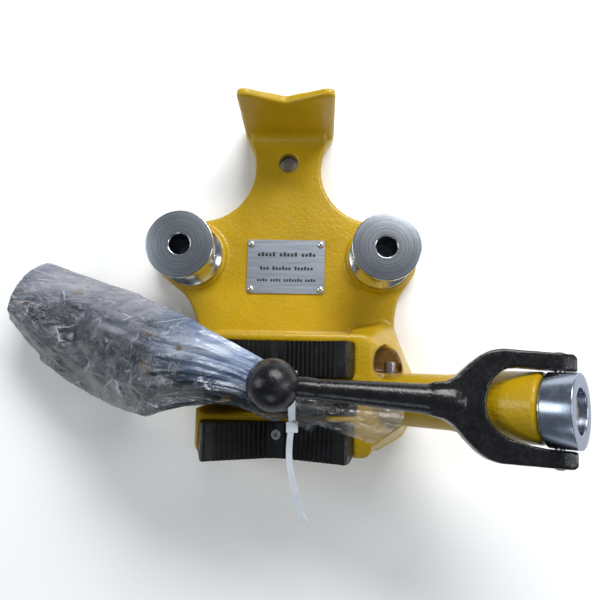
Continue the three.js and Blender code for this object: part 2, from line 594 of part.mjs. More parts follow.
function bagSolid() {
  const steps = 30;
  const rings = (wall) => [
    ...BAG.map((st, i) => bagRing(st, steps, wall, i)),
    skirtRing(0.35, steps, wall), skirtRing(0.7, steps, wall), skirtRing(1, steps, wall),
  ];
  const outer = rings(0);
  const inner = rings(FILM);
  const pos = [];
  const push = (p) => pos.push(p.x, p.y, p.z) / 3 - 1;
  const idOut = outer.map((r) => r.map(push));
  const idIn = inner.map((r) => r.map(push));
  const [ex, ey, ez] = BAG[0];
  const tipOut = push(V(ex - 4, ey + 1.5, ez - 2));
  const tipIn = push(V(ex - 2.6, ey + 1, ez - 2));
  const idx = [];
  const quad = (a, b, c, d) => idx.push(a, b, c, a, c, d);
  for (let k = 0; k < steps; k += 1) {
    const n = (k + 1) % steps;
    idx.push(tipOut, idOut[0][n], idOut[0][k]);
    idx.push(tipIn, idIn[0][k], idIn[0][n]);
    for (let i = 0; i + 1 < outer.length; i += 1) {
      quad(idOut[i][k], idOut[i][n], idOut[i + 1][n], idOut[i + 1][k]);
      quad(idIn[i][n], idIn[i][k], idIn[i + 1][k], idIn[i + 1][n]);
    }
    const e = outer.length - 1;
    quad(idOut[e][k], idOut[e][n], idIn[e][n], idIn[e][k]);
  }
  const g = new THREE.BufferGeometry();
  g.setAttribute("position", new THREE.Float32BufferAttribute(pos, 3));
  g.setIndex(idx);
  const body = solid(g);
  return body.volume() < 0 ? solid(flipped(g)) : body;
}

function flipped(g) {
  const idx = Array.from(g.index.array);
  for (let i = 0; i < idx.length; i += 3) [idx[i + 1], idx[i + 2]] = [idx[i + 2], idx[i + 1]];
  g.setIndex(idx);
  return g;
}

// Strip of rectangular section swept through points, its width along the given side vectors.
function strip(points, sides, width, thick) {
  const pos = [];
  const idx = [];
  points.forEach((p, i) => {
    const before = points[Math.max(0, i - 1)];
    const after = points[Math.min(points.length - 1, i + 1)];
    const t = after.clone().sub(before).normalize();
    const s = sides[i].clone().sub(t.clone().multiplyScalar(sides[i].dot(t))).normalize();
    const n = t.clone().cross(s);
    for (const [a, b] of [[-1, -1], [1, -1], [1, 1], [-1, 1]]) {
      const q = p.clone().addScaledVector(s, (a * width) / 2).addScaledVector(n, (b * thick) / 2);
      pos.push(q.x, q.y, q.z);
    }
  });
  const quad = (a, b, c, d) => idx.push(a, b, c, a, c, d);
  for (let i = 0; i + 1 < points.length; i += 1) {
    for (let k = 0; k < 4; k += 1) {
      const n = (k + 1) % 4;
      quad(4 * i + k, 4 * i + n, 4 * i + 4 + n, 4 * i + 4 + k);
    }
  }
  const e = 4 * (points.length - 1);
  quad(3, 2, 1, 0);
  quad(e, e + 1, e + 2, e + 3);
  const g = new THREE.BufferGeometry();
  g.setAttribute("position", new THREE.Float32BufferAttribute(pos, 3));
  g.setIndex(idx);
  const body = solid(g);
  return body.volume() < 0 ? solid(flipped(g)) : body;
}

function cableTie() {
  const loop = ring([
    [TIE.r, -TIE.w / 2], [TIE.r + TIE.t, -TIE.w / 2], [TIE.r + TIE.t, TIE.w / 2], [TIE.r, TIE.w / 2],
  ], 36).rotateY(Math.PI / 2).translate(TIE.x, TIE.y, TIE.z);
  const head = box(TIE.x - 4.1, TIE.x + 4.1, -21.6, -14.5, 102.5, 110.5);
  const path = new THREE.CatmullRomCurve3([
    V(12.4, -19, 108.6), V(11.6, -27, 109.6), V(11.4, -40, 107.6), V(12.6, -50, 103), V(14.6, -60, 97),
    V(16.6, -71, 89.5), V(19, -81, 82), V(22.8, -91.5, 73),
  ]);
  const pts = path.getPoints(16);
  const tail = strip(pts, pts.map(() => V(1, 0.12, 0)), 4.4, 1.3);
  return solid(loop).add(solid(head)).add(tail);
}

// ---- assembly -----------------------------------------------------------------------------
add("vise_body", viseBody(), YELLOW);
add("jaw_front", jaw(-1), BLACK_OXIDE);
add("jaw_rear", jaw(1), BLACK_OXIDE);
add("jaw_screw_front", jawScrew(-1), STEEL);
add("jaw_screw_rear", jawScrew(1), STEEL);
add("roller_left", roller(-1), ZINC);
add("roller_right", roller(1), ZINC);
add("roller_circlip_left", circlip(-1), STEEL);
add("roller_circlip_right", circlip(1), STEEL);
add("chain_screw", chainScrew(), STEEL);
add("nut_collar", nutCollar(), ZINC);
add("thrust_washer", thrustWasher(), STEEL);
add("guide_pin", guidePin(), STEEL);
add("handle", handleSolid(), BLACK_ENAMEL);
add("ball_knob", ballKnob(), PHENOLIC);
add("trunnion_pin_front", trunnionPin(-1), STEEL);
add("trunnion_pin_rear", trunnionPin(1), STEEL);
add("nameplate", nameplate(), ALUMINIUM);
add("rivet_rear_left", rivet(-1, 1), ALUMINIUM);
add("rivet_rear_right", rivet(1, 1), ALUMINIUM);
add("rivet_front_left", rivet(-1, -1), ALUMINIUM);
add("rivet_front_right", rivet(1, -1), ALUMINIUM);
const pins = chainPins();
for (let i = 0; i + 1 < pins.length; i += 1) {
  add(`chain_link_${String(i + 1).padStart(2, "0")}`, chainLink(i, pins), OILED_STEEL);
}
add("packing_bag", bagSolid(), POLY_FILM);
add("cable_tie", cableTie(), NYLON);

export default group;
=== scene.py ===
"""Looks of the bench chain vise with bending rollers. Metres, +Z up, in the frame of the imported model."""
import math

import bmesh
import bpy
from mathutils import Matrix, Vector, noise
from mathutils.bvhtree import BVHTree


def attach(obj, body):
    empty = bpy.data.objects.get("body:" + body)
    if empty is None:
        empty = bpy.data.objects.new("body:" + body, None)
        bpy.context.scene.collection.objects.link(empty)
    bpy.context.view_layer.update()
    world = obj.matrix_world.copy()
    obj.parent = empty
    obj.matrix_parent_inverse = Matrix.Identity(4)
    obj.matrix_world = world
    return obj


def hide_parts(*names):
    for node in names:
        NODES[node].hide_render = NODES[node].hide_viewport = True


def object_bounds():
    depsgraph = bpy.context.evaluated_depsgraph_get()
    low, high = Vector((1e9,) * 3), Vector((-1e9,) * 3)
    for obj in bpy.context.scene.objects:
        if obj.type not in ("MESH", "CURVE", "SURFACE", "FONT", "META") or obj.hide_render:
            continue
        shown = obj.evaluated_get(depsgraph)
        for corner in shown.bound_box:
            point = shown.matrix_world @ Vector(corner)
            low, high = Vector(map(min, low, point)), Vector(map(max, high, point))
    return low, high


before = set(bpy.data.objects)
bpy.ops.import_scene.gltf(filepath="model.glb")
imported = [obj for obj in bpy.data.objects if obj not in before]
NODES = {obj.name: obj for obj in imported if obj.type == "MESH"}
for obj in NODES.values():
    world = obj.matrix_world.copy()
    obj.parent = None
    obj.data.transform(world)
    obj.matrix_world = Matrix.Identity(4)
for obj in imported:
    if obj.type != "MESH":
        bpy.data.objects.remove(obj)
cad_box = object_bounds()
scene = bpy.context.scene
MM = 0.001

# ---- camera -------------------------------------------------------------------------------
cam_data = bpy.data.cameras.new("camera")
cam_data.sensor_width = 36.0
cam_data.lens = 33.6
cam = bpy.data.objects.new("camera", cam_data)
scene.collection.objects.link(cam)
cam.location = (0.0305, 0.0217, 0.5087)
cam.rotation_euler = (math.radians(7.18), math.radians(1.83), math.radians(1.20))
scene.camera = cam

# ---- light and floor ----------------------------------------------------------------------
scene.view_settings.view_transform = "Standard"
scene.view_settings.look = "None"
world = bpy.data.worlds.new("studio")
scene.world = world
world.use_nodes = True
bg = world.node_tree.nodes["Background"]
bg.inputs["Color"].default_value = (0.86, 0.93, 1.0, 1)
bg.inputs["Strength"].default_value = 0.16


def area(name, loc, aim, size, power, color=(1, 1, 1)):
    data = bpy.data.lights.new(name, "AREA")
    data.shape = "RECTANGLE"
    data.size, data.size_y = size
    data.energy = power
    data.color = color
    ob = bpy.data.objects.new(name, data)
    scene.collection.objects.link(ob)
    ob.location = loc
    ob.rotation_euler = (Vector(aim) - Vector(loc)).to_track_quat("-Z", "Y").to_euler()


area("key", (0.40, 1.10, 1.05), (0, 0.06, 0.05), (1.0, 0.5), 26, (1, 0.99, 0.97))
area("left", (-1.15, 0.25, 0.90), (0, 0.05, 0.05), (0.6, 0.8), 7, (0.93, 0.97, 1))
area("right", (1.20, 0.05, 0.80), (0.05, 0.0, 0.1), (0.35, 0.8), 6, (0.92, 0.96, 1))
area("front", (-0.10, -1.15, 0.95), (0, 0.0, 0.05), (0.8, 0.4), 3.2, (0.85, 0.93, 1))

floor_mesh = bpy.data.meshes.new("floor")
floor_mesh.from_pydata([(-4, -4, 0), (4, -4, 0), (4, 4, 0), (-4, 4, 0)], [], [(0, 1, 2, 3)])
floor = bpy.data.objects.new("floor", floor_mesh)
scene.collection.objects.link(floor)
FLOOR_GAP = 0.0002
floor.location.z = min(0.0, cad_box[0][2]) - FLOOR_GAP


# ---- material helpers ---------------------------------------------------------------------
class Mat:
    """A Principled material with short calls for the nodes that this script uses."""

    def __init__(self, name, color, rough=0.5, metal=0.0, **sockets):
        self.m = bpy.data.materials.new(name)
        self.m.use_nodes = True
        self.t = self.m.node_tree
        self.b = self.t.nodes["Principled BSDF"]
        self.b.inputs["Base Color"].default_value = (*color, 1)
        self.b.inputs["Roughness"].default_value = rough
        self.b.inputs["Metallic"].default_value = metal
        for key, value in sockets.items():
            self.b.inputs[key.replace("_", " ")].default_value = value
        self.coord = None

    def node(self, kind, **values):
        n = self.t.nodes.new(kind)
        for key, value in values.items():
            if key in n.inputs:
                n.inputs[key].default_value = value
            else:
                setattr(n, key, value)
        return n

    def link(self, a, b):
        self.t.links.new(a, b)

    def pos(self, scale=(1, 1, 1), turn=(0, 0, 0)):
        """Object coordinates, stretched and turned."""
        if self.coord is None:
            self.coord = self.node("ShaderNodeTexCoord")
        mp = self.node("ShaderNodeMapping")
        mp.inputs["Scale"].default_value = scale
        mp.inputs["Rotation"].default_value = turn
        self.link(self.coord.outputs["Object"], mp.inputs["Vector"])
        return mp.outputs["Vector"]

    def noise(self, scale, detail=3.0, rough=0.55, vec=None, distort=0.0):
        n = self.node("ShaderNodeTexNoise", Scale=scale, Detail=detail, Roughness=rough,
                      Distortion=distort)
        self.link(vec or self.pos(), n.inputs["Vector"])
        return n.outputs["Fac"]

    def voronoi(self, scale, feature="F1", vec=None):
        n = self.node("ShaderNodeTexVoronoi", feature=feature, Scale=scale)
        self.link(vec or self.pos(), n.inputs["Vector"])
        return n.outputs["Distance"]

    def ramp(self, fac, stops):
        r = self.node("ShaderNodeValToRGB")
        e = r.color_ramp.elements
        e[0].position, e[0].color = stops[0][0], (*stops[0][1], 1)
        e[1].position, e[1].color = stops[-1][0], (*stops[-1][1], 1)
        for p, c in stops[1:-1]:
            e.new(p).color = (*c, 1)
        self.link(fac, r.inputs["Fac"])
        return r.outputs["Color"]

    def value(self, fac, low, high, a=0.3, b=0.7):
        r = self.node("ShaderNodeMapRange")
        r.inputs["From Min"].default_value = a
        r.inputs["From Max"].default_value = b
        r.inputs["To Min"].default_value = low
        r.inputs["To Max"].default_value = high
        self.link(fac, r.inputs["Value"])
        return r.outputs["Result"]

    def mix(self, a, b, fac, mode="MIX"):
        m = self.node("ShaderNodeMix", data_type="RGBA", blend_type=mode)
        if isinstance(fac, (int, float)):
            m.inputs[0].default_value = fac
        else:
            self.link(fac, m.inputs[0])
        for sock, v in ((m.inputs[6], a), (m.inputs[7], b)):
            if isinstance(v, tuple):
                sock.default_value = (*v, 1)
            else:
                self.link(v, sock)
        return m.outputs[2]

    def color(self, out):
        self.link(out, self.b.inputs["Base Color"])

    def rough(self, out):
        self.link(out, self.b.inputs["Roughness"])

    def bump(self, layers):
        """layers: (height output, distance in metres, strength), finest last."""
        last = None
        for height, dist, strength in layers:
            n = self.node("ShaderNodeBump")
            n.inputs["Distance"].default_value = dist
            n.inputs["Strength"].default_value = strength
            self.link(height, n.inputs["Height"])
            if last:
                self.link(last, n.inputs["Normal"])
            last = n.outputs["Normal"]
        self.link(last, self.b.inputs["Normal"])


def paint(ob, mat):
    ob.data.materials.clear()
    ob.data.materials.append(mat.m)


def soften(ob, angle):
    """Smooth shading that keeps edges sharper than the angle."""
    bpy.ops.object.select_all(action="DESELECT")
    ob.select_set(True)
    bpy.context.view_layer.objects.active = ob
    bpy.ops.object.shade_smooth_by_angle(angle=math.radians(angle))


# ---- materials ----------------------------------------------------------------------------
def cast_enamel():
    m = Mat("yellow_enamel", (0.46, 0.29, 0.003), 0.34, Coat_Weight=0.18, Coat_Roughness=0.10)
    m.b.inputs["Specular IOR Level"].default_value = 0.32
    broad = m.noise(14, 4, 0.5)
    col = m.ramp(broad, [(0.3, (0.40, 0.250, 0.002)), (0.52, (0.46, 0.290, 0.003)),
                         (0.74, (0.53, 0.335, 0.005))])
    spots = m.ramp(m.voronoi(240), [(0.0, (0.62, 0.62, 0.62)), (0.05, (1, 1, 1))])
    col = m.mix(col, spots, 0.35, "MULTIPLY")
    height = m.node("ShaderNodeSeparateXYZ")
    m.link(m.pos(), height.inputs[0])
    # painted shade down in the niche of the guide pin and in the neck bolt hole:
    # centre, radius, height at which it is darkest, height at which it starts, in metres, then its colour
    niche = ((0.084, 0.0285, 0), 0.0120, 0.072, 0.094, (0.10, 0.045, 0.004))
    neck_hole = ((0, 0.2109, 0), 0.0094, 0.003, 0.011, (0.012, 0.009, 0.005))
    for centre, radius, low, high, painted_shade_colour in (niche, neck_hole):
        spread = m.node("ShaderNodeVectorMath", operation="DISTANCE")
        m.link(m.pos((1, 1, 0)), spread.inputs[0])
        spread.inputs[1].default_value = centre
        darkening = m.node("ShaderNodeMath", operation="MULTIPLY")
        m.link(m.value(spread.outputs["Value"], 0.95, 0.0, radius, radius + 0.0015), darkening.inputs[0])
        m.link(m.value(height.outputs["Z"], 1.0, 0.0, low, high), darkening.inputs[1])
        col = m.mix(col, painted_shade_colour, darkening.outputs[0])
    m.color(col)
    m.rough(m.value(m.noise(60, 3), 0.28, 0.46))
    m.bump([(m.noise(34, 2), 0.0014, 0.42), (m.noise(330, 3, 0.6), 0.0008, 0.75),
            (m.noise(1100, 2, 0.6), 0.0002, 0.4)])
    return m


def zinc_plate(name, tint=(0.60, 0.63, 0.68), low=0.13, high=0.24):
    m = Mat(name, tint, 0.2, 1.0)
    cloud = m.noise(55, 4)
    m.color(m.ramp(cloud, [(0.3, tuple(c * 0.88 for c in tint)), (0.6, tint),
                           (0.8, (tint[0] * 1.08, tint[1] * 1.02, tint[2] * 0.95))]))
    m.rough(m.value(m.noise(160, 3), low, high))
    m.bump([(m.noise(400, 2), 0.00004, 0.2)])
    return m


LATHE_LINES = 1500  # rings per metre of radius


def turned_face(name, centre, tint=(0.33, 0.36, 0.405)):
    """Faced steel: faint lathe rings round centre; its tint, darker than the side's, is painted shade."""
    m = zinc_plate(name, tint, 0.26, 0.36)
    shift = m.node("ShaderNodeVectorMath", operation="SUBTRACT")
    m.link(m.pos(), shift.inputs[0])
    shift.inputs[1].default_value = centre
    length = m.node("ShaderNodeVectorMath", operation="LENGTH")
    m.link(shift.outputs[0], length.inputs[0])
    wave = m.node("ShaderNodeMath", operation="MULTIPLY")
    wave.inputs[1].default_value = LATHE_LINES
    m.link(length.outputs["Value"], wave.inputs[0])
    lines = m.node("ShaderNodeTexNoise", Scale=1.0, Detail=2.0)
    lines.noise_dimensions = "1D"
    m.link(wave.outputs[0], lines.inputs["W"])
    m.rough(m.value(lines.outputs["Fac"], 0.24, 0.40))
    m.bump([(m.noise(300, 2), 0.00005, 0.2), (lines.outputs["Fac"], 0.00005, 0.5)])
    return m


def black_oxide():
    m = Mat("black_oxide", (0.010, 0.010, 0.011), 0.40, 0.0)
    m.b.inputs["Specular IOR Level"].default_value = 0.16
    wear = m.noise(90, 5, 0.65)
    m.color(m.ramp(wear, [(0.35, (0.005, 0.005, 0.006)), (0.62, (0.011, 0.011, 0.012)),
                          (0.85, (0.035, 0.034, 0.032))]))
    m.rough(m.value(m.noise(220, 3), 0.3, 0.6))
    m.bump([(m.noise(420, 3), 0.0004, 0.5)])
    return m


def rough_enamel():
    m = Mat("black_enamel", (0.006, 0.006, 0.007), 0.24, Coat_Weight=0.1, Coat_Roughness=0.1)
    m.b.inputs["Specular IOR Level"].default_value = 0.3
    m.color(m.ramp(m.noise(120, 3), [(0.3, (0.004, 0.004, 0.005)), (0.7, (0.010, 0.010, 0.012))]))
    m.rough(m.value(m.noise(300, 2), 0.16, 0.34))
    m.bump([(m.noise(110, 2), 0.0006, 0.25), (m.noise(620, 3, 0.6), 0.0005, 0.45)])
    return m


def phenolic():
    m = Mat("black_phenolic", (0.008, 0.008, 0.010), 0.2)
    m.b.inputs["Specular IOR Level"].default_value = 0.3
    scuff = m.noise(90, 5, 0.65)
    m.color(m.ramp(scuff, [(0.4, (0.006, 0.006, 0.008)), (0.75, (0.022, 0.022, 0.025))]))
    m.rough(m.value(scuff, 0.14, 0.34))
    m.bump([(m.noise(420, 4, 0.6), 0.0005, 0.6)])
    return m


def brushed_aluminium():
    m = Mat("brushed_aluminium", (0.40, 0.45, 0.53), 0.34, 0.85)
    brush = m.noise(900, 3, 0.6, m.pos((0.03, 1, 1)))
    m.color(m.ramp(brush, [(0.3, (0.37, 0.415, 0.49)), (0.7, (0.43, 0.48, 0.56))]))
    m.rough(m.value(brush, 0.36, 0.46))
    m.bump([(brush, 0.00002, 0.2)])
    return m


def steel(name, color, rough, darkening):
    m = Mat(name, color, rough, 0.9)
    dark = tuple(c * (1 - 0.65 * darkening) for c in color)
    rust = (color[0] * 0.9 + 0.03, color[1] * 0.7, color[2] * 0.5)
    m.color(m.ramp(m.noise(130, 5, 0.65), [(0.3, dark), (0.55, color), (0.75, rust)]))
    m.rough(m.value(m.noise(240, 3), rough * 0.7, rough * 1.4))
    m.bump([(m.noise(520, 3), 0.0003, 0.4)])
    return m


BAG_YAW = math.radians(17.5)  # how far the bag's length is turned from the x axis


def clear_film():
    """Thin hazy film: painted shade low on the front side, painted light on the rear side, milky at the
    neck where its rear side takes painted light.
    """
    m = Mat("clear_film", (0.30, 0.32, 0.38), 0.14, IOR=1.5)
    m.b.inputs["Specular IOR Level"].default_value = 0.9
    sep = m.node("ShaderNodeSeparateXYZ")
    m.link(m.pos((1, 1, 1), (0, 0, BAG_YAW)), sep.inputs[0])
    streak = m.noise(30, 4, 0.6, m.pos((0.35, 1.5, 1), (0, 0, BAG_YAW)), 1.2)
    wander = m.node("ShaderNodeMath", operation="MULTIPLY_ADD")
    m.link(streak, wander.inputs[0])
    wander.inputs[1].default_value = 0.05
    m.link(sep.outputs["Y"], wander.inputs[2])
    # darker towards the front and lighter towards the rear: painted shade and painted light
    side = m.value(wander.outputs[0], 0.0, 1.0, 0.020, 0.075)
    neck = m.value(sep.outputs["X"], 0.0, 1.0, -0.105, -0.035)
    rear = m.value(sep.outputs["Y"], 0.0, 1.0, -0.006, 0.008)
    # milky where the film bunches at the neck, partly its own whiteness and, kept to the rear side, partly
    # painted light
    gathered = m.node("ShaderNodeMath", operation="MULTIPLY")
    m.link(neck, gathered.inputs[0])
    m.link(rear, gathered.inputs[1])
    low = m.ramp(streak, [(0.34, (0.008, 0.014, 0.024)), (0.5, (0.032, 0.044, 0.062)),
                          (0.72, (0.10, 0.11, 0.115))])
    high = m.ramp(streak, [(0.30, (0.12, 0.145, 0.21)), (0.5, (0.25, 0.265, 0.345)),
                           (0.7, (0.44, 0.44, 0.52))])
    milky = m.ramp(streak, [(0.32, (0.12, 0.18, 0.31)), (0.5, (0.36, 0.45, 0.64)),
                            (0.64, (0.68, 0.77, 0.92))])
    base = m.mix(m.mix(low, high, side), milky, gathered.outputs[0])
    # beyond the tie: first clear over the black jaw, then a pale haze in the wide flap
    thin = m.ramp(streak, [(0.35, (0.010, 0.014, 0.020)), (0.6, (0.06, 0.07, 0.08)),
                           (0.75, (0.3, 0.32, 0.34))])
    haze = m.ramp(streak, [(0.35, (0.26, 0.23, 0.19)), (0.6, (0.50, 0.47, 0.43)),
                           (0.75, (0.7, 0.7, 0.7))])
    base = m.mix(base, thin, m.value(sep.outputs["X"], 0.0, 1.0, -0.022, 0.0))
    base = m.mix(base, haze, m.value(sep.outputs["X"], 0.0, 1.0, 0.048, 0.062))
    patches = m.value(m.noise(22, 2), 0.05, 1.0, 0.48, 0.62)
    # painted highlights: thin pale lines along the creases in place of glints
    crease_glint = m.node("ShaderNodeMath", operation="MULTIPLY")
    cells = m.voronoi(38, "DISTANCE_TO_EDGE", m.pos((0.55, 1.2, 1), (0.4, 0.5, BAG_YAW)))
    m.link(m.value(cells, 1.0, 0.0, 0.0, 0.024), crease_glint.inputs[0])
    m.link(m.value(m.noise(60, 2), 0.0, 0.65, 0.48, 0.58), crease_glint.inputs[1])
    base = m.mix(base, (0.62, 0.70, 0.84), crease_glint.outputs[0])
    rust = m.value(m.noise(75, 2), 0.0, 1.0, 0.68, 0.74)
    m.color(m.mix(base, (0.23, 0.13, 0.045), rust))
    reach = m.value(sep.outputs["X"], 0.0, 1.0, -0.03, 0.09)
    clear = m.ramp(reach, [(0.0, (1, 1, 1)), (0.3, (0.5, 0.5, 0.5)), (0.62, (0.5, 0.5, 0.5)),
                           (0.76, (0.8, 0.8, 0.8))])
    alpha = m.node("ShaderNodeMath", operation="MULTIPLY")
    m.link(m.value(m.noise(26, 4, 0.55), 0.56, 0.86, 0.35, 0.65), alpha.inputs[0])
    m.link(clear, alpha.inputs[1])
    m.link(alpha.outputs[0], m.b.inputs["Alpha"])
    m.rough(m.value(m.noise(70, 3), 0.12, 0.30))
    crinkle = m.node("ShaderNodeMath", operation="MULTIPLY")
    m.link(m.voronoi(150, "DISTANCE_TO_EDGE", m.pos((0.5, 1.3, 1), (0, 0, BAG_YAW))), crinkle.inputs[0])
    m.link(patches, crinkle.inputs[1])
    m.bump([(m.noise(44, 5, 0.62, m.pos((0.4, 1.6, 1.2), (0, 0, BAG_YAW)), 0.8), 0.006, 0.5),
            (m.voronoi(44, "DISTANCE_TO_EDGE", m.pos((0.45, 1.4, 1), (0, 0, BAG_YAW))), 0.005, 0.55),
            (crinkle.outputs[0], 0.0035, 0.7)])
    return m


def nylon():
    m = Mat("nylon", (0.80, 0.86, 0.93), 0.38, Subsurface_Weight=0.25)
    m.b.inputs["Subsurface Radius"].default_value = (0.004, 0.004, 0.004)
    m.b.inputs["Subsurface Scale"].default_value = 1.0
    m.color(m.ramp(m.noise(90, 2), [(0.3, (0.72, 0.79, 0.87)), (0.7, (0.86, 0.90, 0.95))]))
    m.bump([(m.noise(500, 2), 0.0001, 0.2)])
    return m


def pale_floor():
    m = Mat("pale_floor", (0.9, 0.9, 0.9), 0.85)
    m.color(m.ramp(m.noise(3, 2), [(0.2, (0.89, 0.89, 0.89)), (0.8, (0.93, 0.93, 0.93))]))
    return m


paint(floor, pale_floor())
ENAMEL = cast_enamel()
OXIDE = black_oxide()
HANDLE = rough_enamel()
BARE = steel("bare_steel", (0.33, 0.31, 0.30), 0.33, 0.4)
CHAIN = steel("oiled_steel", (0.13, 0.12, 0.115), 0.3, 0.7)
SCREW_ZINC = steel("zinc_steel", (0.40, 0.41, 0.42), 0.4, 0.25)
SPRING = steel("spring_steel", (0.12, 0.12, 0.13), 0.35, 0.4)
RIVET = Mat("rivet_aluminium", (0.72, 0.75, 0.80), 0.22, 0.95)
RIVET.bump([(RIVET.noise(600, 2), 0.0001, 0.3)])
LOOK = {
    "vise_body": ENAMEL, "jaw_front": OXIDE, "jaw_rear": OXIDE, "handle": HANDLE,
    "ball_knob": phenolic(), "nameplate": brushed_aluminium(), "packing_bag": clear_film(),
    # the nut side's blue tint is partly the zinc's own cast and partly a painted reflection of something
    # blue
    "cable_tie": nylon(), "nut_collar": zinc_plate("nut_side", (0.33, 0.38, 0.47), 0.2, 0.32),
    "roller_left": zinc_plate("roller_side_left"), "roller_right": zinc_plate("roller_side_right"),
}
for name, ob in NODES.items():
    if name in LOOK:
        mat = LOOK[name]
    elif name.startswith("jaw_screw"):
        mat = SCREW_ZINC
    elif name.startswith("chain_link"):
        mat = CHAIN
    elif name.startswith("rivet"):
        mat = RIVET
    elif name.startswith("roller_circlip"):
        mat = SPRING
    else:
        mat = BARE
    paint(ob, mat)
    soften(ob, 32)


# ---- surface refinement on the CAD solids --------------------------------------------------
def modifier(ob, kind, name, **values):
    mod = ob.modifiers.new(name, kind)
    for key, value in values.items():
        setattr(mod, key, value)


def cast_surface(ob, voxel, passes):
    """Roundness of a cast or forged piece: an even mesh, then edges and corners eased."""
    modifier(ob, "REMESH", "skin", mode="VOXEL", voxel_size=voxel, use_smooth_shade=True)
    modifier(ob, "SMOOTH", "ease", factor=0.5, iterations=passes)


cast_surface(NODES["vise_body"], 1.5 * MM, 3)
cast_surface(NODES["handle"], 0.9 * MM, 10)

# ---- turned pieces at full smoothness -------------------------------------------------------
TILT = math.radians(37.5)
AXIS = Vector((math.cos(TILT), 0, math.sin(TILT)))
NUT_END = Vector((0.1938, 0, 0.1519))
KNOB = Vector((0.0013, 0.0116, 0.1441))
KNOB_RADIUS = 17.5
TRUNNION = 0.013  # from the nut's end back to the handle's hinge
NECK_BELOW = Vector((0, 0, 0.0004))  # the neck's axis passes just under the ball's middle
ROLLER_X, ROLLER_Y, ROLLER_TOP = 0.084, 0.1215, 0.067
GROOVE_FLOOR, GROOVE_HALF, GROOVE_DEPTH, GROOVE_MID = 17.5, 18.2, 10.0, 43.15
PLATE_Y, RIVET_X, RIVET_Y, RIVET_SEAT = 0.1135, 0.0312, 0.0204, 15.6
SEGS = 128


def piece(name, verts, faces, mat, smooth=30):
    mesh = bpy.data.meshes.new(name)
    mesh.from_pydata([tuple(v) for v in verts], [], faces)
    mesh.validate()
    ob = bpy.data.objects.new(name, mesh)
    scene.collection.objects.link(ob)
    paint(ob, mat)
    if smooth:
        soften(ob, smooth)
    return ob


def lathe(name, profile, origin, axis, mat, closed=False, segs=None):
    """Revolve [radius, height] pairs in mm about the axis through origin (m)."""
    segs = segs or SEGS
    frame3 = Vector(axis).to_track_quat("Z", "Y").to_matrix()
    verts, faces, rows = [], [], []
    for r, h in profile:
        if r < 1e-6:
            rows.append([len(verts)] * segs)
            verts.append(Vector(origin) + frame3 @ Vector((0, 0, h * MM)))
            continue
        row = []
        for k in range(segs):
            a = 2 * math.pi * k / segs
            row.append(len(verts))
            verts.append(Vector(origin)
                         + frame3 @ Vector((r * MM * math.cos(a), r * MM * math.sin(a), h * MM)))
        rows.append(row)
    pairs = list(zip(rows, rows[1:])) + ([(rows[-1], rows[0])] if closed else [])
    for a, b in pairs:
        for k in range(segs):
            n = (k + 1) % segs
            loop = list(dict.fromkeys([a[k], a[n], b[n], b[k]]))
            if len(loop) > 2:
                faces.append(loop)
    ob = piece(name, verts, faces, mat)
    bm = bmesh.new()
    bm.from_mesh(ob.data)
    bmesh.ops.recalc_face_normals(bm, faces=bm.faces)
    bm.to_mesh(ob.data)
    bm.free()
    return ob


def stands_for(ob, node, body):
    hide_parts(node)
    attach(ob, body)


def arc(cx, cy, r, a0, a1, n=6):
    return [(cx + r * math.cos(math.radians(a0 + (a1 - a0) * i / n)),
             cy + r * math.sin(math.radians(a0 + (a1 - a0) * i / n))) for i in range(n + 1)]


for side, body in ((-1, "roller_l"), (1, "roller_r")):
    word = "left" if side < 0 else "right"
    bend = (GROOVE_HALF ** 2 + GROOVE_DEPTH ** 2) / (2 * GROOVE_DEPTH)
    groove = []
    for i in range(-12, 13):
        h = GROOVE_HALF * i / 12
        groove.append((GROOVE_FLOOR + bend - math.sqrt(bend * bend - h * h), GROOVE_MID + h))
    profile = [(8.2, 2.2), (12, 2.2), (12, 4.4), (10.8, 4.4), (10.8, 6.1), (12, 6.1), (12, 19.3),
               *arc(27.3, 19.9, 0.6, -90, 0, 4), (27.9, 23.6), *arc(27.4, 23.9, 0.5, 0, 60, 2), *groove,
               *arc(27.3, 62.4, 0.6, -60, 0, 3), *arc(27.1, 66.2, 0.8, 0, 90, 4),
               (9.6, 67), *arc(9.6, 66.0, 1.0, 90, 150, 3), (8.2, 64.6)]
    rol = lathe("roller_%s_turned" % word, profile, (side * ROLLER_X, ROLLER_Y, 0), (0, 0, 1),
                LOOK["roller_" + word], closed=True)
    # the top face gets a darker copy of the side's metal: painted shade
    top = (side * ROLLER_X, ROLLER_Y, ROLLER_TOP)
    rol.data.materials.append(turned_face("roller_face_shaded_" + word, top).m)
    for poly in rol.data.polygons:
        if poly.normal.z > 0.9 and poly.center.z > 0.06:
            poly.material_index = 1
    stands_for(rol, "roller_" + word, body)

nut = lathe("nut_turned", [(12.3, -12), (14.6, -6), (14.6, -0.9), *arc(15.5, -0.9, 0.9, 180, 90, 4),
                           *arc(23.2, -0.7, 0.7, 90, 0, 5), *arc(23.2, -18.3, 0.7, 0, -90, 5),
                           (12.3, -19)], NUT_END, AXIS, LOOK["nut_collar"], closed=True)
# the end face in a darker tint of the same steel than the side: painted shade
nut.data.materials.append(turned_face("nut_face_shaded", NUT_END, (0.21, 0.25, 0.34)).m)
for poly in nut.data.polygons:
    if poly.normal.dot(AXIS) > 0.9 and (poly.center - NUT_END).dot(AXIS) > -0.002:
        poly.material_index = 1
stands_for(nut, "nut_collar", "nut")

ball = lathe("ball_polished", [(0, -KNOB_RADIUS), *arc(0, 0, KNOB_RADIUS, -84, 84, 40), (0, KNOB_RADIUS)],
             KNOB, (0, 0, 1), LOOK["ball_knob"])
stands_for(ball, "ball_knob", "lever")

# neck of the handle, where the bar runs into the ball
toward = (NUT_END - TRUNNION * AXIS - KNOB).normalized()
neck = lathe("handle_neck", [(0, 13), (6.8, 13), (7.0, 17), (7.3, 21), (7.3, 27), (6.4, 31), (0, 31)],
             KNOB - NECK_BELOW, toward, HANDLE, segs=48)
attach(neck, "lever")

